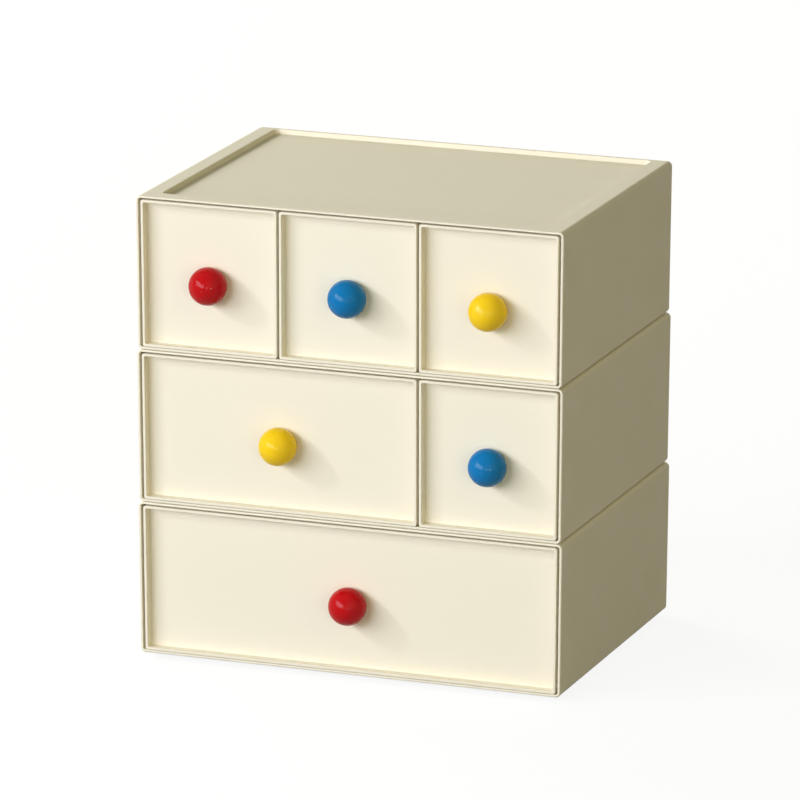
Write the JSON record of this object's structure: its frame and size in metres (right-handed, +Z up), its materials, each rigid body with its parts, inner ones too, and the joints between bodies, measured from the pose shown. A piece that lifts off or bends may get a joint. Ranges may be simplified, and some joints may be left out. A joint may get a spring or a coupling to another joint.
{
  "type": "desktop mini drawers",
  "caption": "Stack of three moulded plastic desktop drawer units with flush recessed drawer fronts and round ball knobs.",
  "frame": {"origin": "under the middle of the whole, knobs included, on the surface that the lower foot pads stand on", "axes": "+X to the right seen from the front, +Y to the back (drawers pull out along -Y), +Z up"},
  "size_m": [0.2574, 0.2008, 0.2729],
  "materials": {
    "cream_case": "satin moulded cream",
    "cream_drawer": "satin moulded cream",
    "red_knob": "high gloss red",
    "blue_knob": "high gloss blue",
    "yellow_knob": "high gloss yellow",
    "brass_insert": "machined",
    "steel_fastener": "zinc plated",
    "pad_rubber": "soft, clear grey"
  },
  "bodies": {
    "lower_unit": {"lower_case": "cream_case", "lower_foot_pads": "pad_rubber"},
    "lower_drawer": {"lower_drawer": "cream_drawer", "lower_knob": "red_knob", "lower_knob_insert": "brass_insert", "lower_knob_screw": "steel_fastener", "lower_knob_washer": "steel_fastener"},
    "middle_unit": {"middle_case": "cream_case", "middle_foot_pads": "pad_rubber", "middle_partition": "cream_case"},
    "middle_wide_drawer": {"middle_wide_drawer": "cream_drawer", "middle_wide_knob": "yellow_knob", "middle_wide_knob_insert": "brass_insert", "middle_wide_knob_screw": "steel_fastener", "middle_wide_knob_washer": "steel_fastener"},
    "middle_right_drawer": {"middle_right_drawer": "cream_drawer", "middle_right_knob": "blue_knob", "middle_right_knob_insert": "brass_insert", "middle_right_knob_screw": "steel_fastener", "middle_right_knob_washer": "steel_fastener"},
    "upper_unit": {"upper_case": "cream_case", "upper_foot_pads": "pad_rubber", "upper_left_partition": "cream_case", "upper_right_partition": "cream_case"},
    "upper_left_drawer": {"upper_left_drawer": "cream_drawer", "upper_left_knob": "red_knob", "upper_left_knob_insert": "brass_insert", "upper_left_knob_screw": "steel_fastener", "upper_left_knob_washer": "steel_fastener"},
    "upper_centre_drawer": {"upper_centre_drawer": "cream_drawer", "upper_centre_knob": "blue_knob", "upper_centre_knob_insert": "brass_insert", "upper_centre_knob_screw": "steel_fastener", "upper_centre_knob_washer": "steel_fastener"},
    "upper_right_drawer": {"upper_right_drawer": "cream_drawer", "upper_right_knob": "yellow_knob", "upper_right_knob_insert": "brass_insert", "upper_right_knob_screw": "steel_fastener", "upper_right_knob_washer": "steel_fastener"}
  },
  "joints": [
    {"name": "lower_drawer_slide", "type": "slide", "parent": "lower_unit", "child": "lower_drawer", "axis": [0, -1, 0], "range_m": [0, 0.143]},
    {"name": "middle_unit_lift", "type": "slide", "parent": "lower_unit", "child": "middle_unit", "axis": [0, 0, 1], "range_m": [0, 0.1]},
    {"name": "middle_wide_drawer_slide", "type": "slide", "parent": "middle_unit", "child": "middle_wide_drawer", "axis": [0, -1, 0], "range_m": [0, 0.143]},
    {"name": "middle_right_drawer_slide", "type": "slide", "parent": "middle_unit", "child": "middle_right_drawer", "axis": [0, -1, 0], "range_m": [0, 0.143]},
    {"name": "upper_unit_lift", "type": "slide", "parent": "middle_unit", "child": "upper_unit", "axis": [0, 0, 1], "range_m": [0, 0.1]},
    {"name": "upper_left_drawer_slide", "type": "slide", "parent": "upper_unit", "child": "upper_left_drawer", "axis": [0, -1, 0], "range_m": [0, 0.143]},
    {"name": "upper_centre_drawer_slide", "type": "slide", "parent": "upper_unit", "child": "upper_centre_drawer", "axis": [0, -1, 0], "range_m": [0, 0.143]},
    {"name": "upper_right_drawer_slide", "type": "slide", "parent": "upper_unit", "child": "upper_right_drawer", "axis": [0, -1, 0], "range_m": [0, 0.143]}
  ]
}
